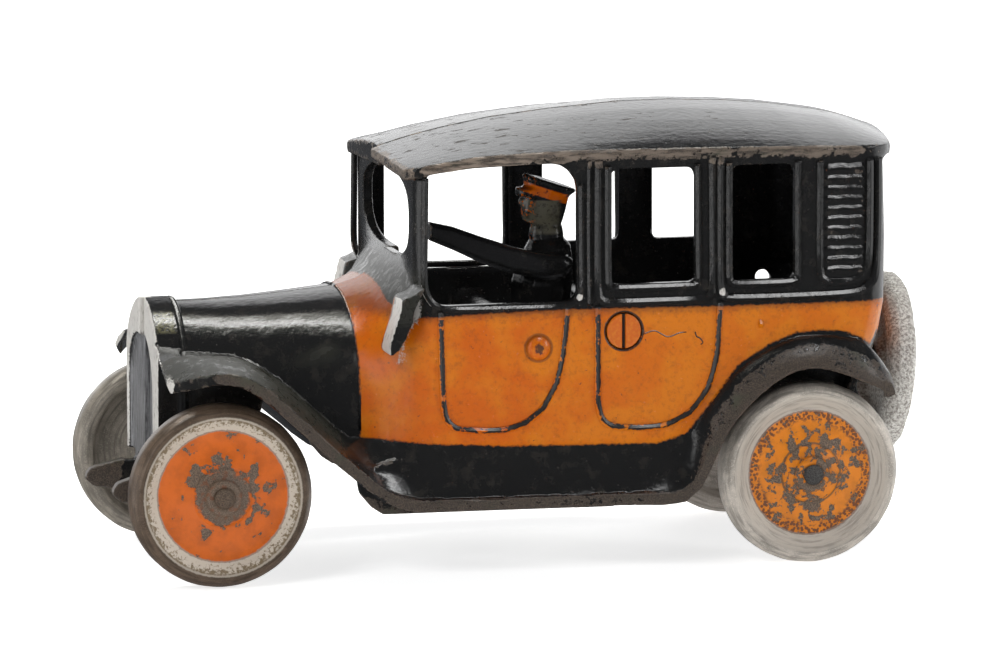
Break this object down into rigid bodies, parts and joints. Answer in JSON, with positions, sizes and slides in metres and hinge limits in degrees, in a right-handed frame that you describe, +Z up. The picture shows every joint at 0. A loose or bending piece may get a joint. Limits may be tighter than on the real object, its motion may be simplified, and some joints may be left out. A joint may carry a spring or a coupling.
{
  "type": "cast iron toy taxi",
  "caption": "Old cast iron toy taxi: two painted half castings held by a screw and a rivet, wheels turning on peened axles, a driver, louvres and a riveted spare wheel.",
  "frame": {"origin": "on the ground under the middle of the toy's overall box, on the plane where the half castings meet", "axes": "+X toward the back of the car, +Y toward its right side, +Z up; the front faces -X"},
  "size_m": [0.2057, 0.0926, 0.1113],
  "materials": {
    "black_enamel": "glossy black enamel, worn",
    "orange_enamel": "satin orange enamel, worn",
    "bare_iron": "bare, slightly rusty",
    "bright_iron": "bare bright casting, granular"
  },
  "bodies": {
    "body": {"body_half_left": "black_enamel", "body_half_right": "black_enamel", "body_screw": "orange_enamel", "door_rivet": "bare_iron", "driver": "black_enamel", "spare_rivet": "bare_iron", "spare_wheel": "bright_iron"},
    "front_axle": {"front_axle": "bare_iron"},
    "rear_axle": {"rear_axle": "bare_iron"},
    "wheel_front_left": {"wheel_front_left": "orange_enamel"},
    "wheel_front_right": {"wheel_front_right": "orange_enamel"},
    "wheel_rear_left": {"wheel_rear_left": "orange_enamel"},
    "wheel_rear_right": {"wheel_rear_right": "orange_enamel"}
  },
  "joints": [
    {"name": "front_axle_spin", "type": "hinge", "parent": "body", "child": "front_axle", "pos_m": [-0.0786, 0, 0.0225], "axis": [0, 1, 0], "continuous": true},
    {"name": "rear_axle_spin", "type": "hinge", "parent": "body", "child": "rear_axle", "pos_m": [0.0689, 0, 0.0225], "axis": [0, 1, 0], "continuous": true},
    {"name": "wheel_front_left_spin", "type": "hinge", "parent": "front_axle", "child": "wheel_front_left", "pos_m": [-0.0786, -0.0374, 0.0225], "axis": [0, 1, 0], "continuous": true},
    {"name": "wheel_front_right_spin", "type": "hinge", "parent": "front_axle", "child": "wheel_front_right", "pos_m": [-0.0786, 0.0374, 0.0225], "axis": [0, 1, 0], "continuous": true},
    {"name": "wheel_rear_left_spin", "type": "hinge", "parent": "rear_axle", "child": "wheel_rear_left", "pos_m": [0.0689, -0.0374, 0.0225], "axis": [0, 1, 0], "continuous": true},
    {"name": "wheel_rear_right_spin", "type": "hinge", "parent": "rear_axle", "child": "wheel_rear_right", "pos_m": [0.0689, 0.0374, 0.0225], "axis": [0, 1, 0], "continuous": true}
  ]
}
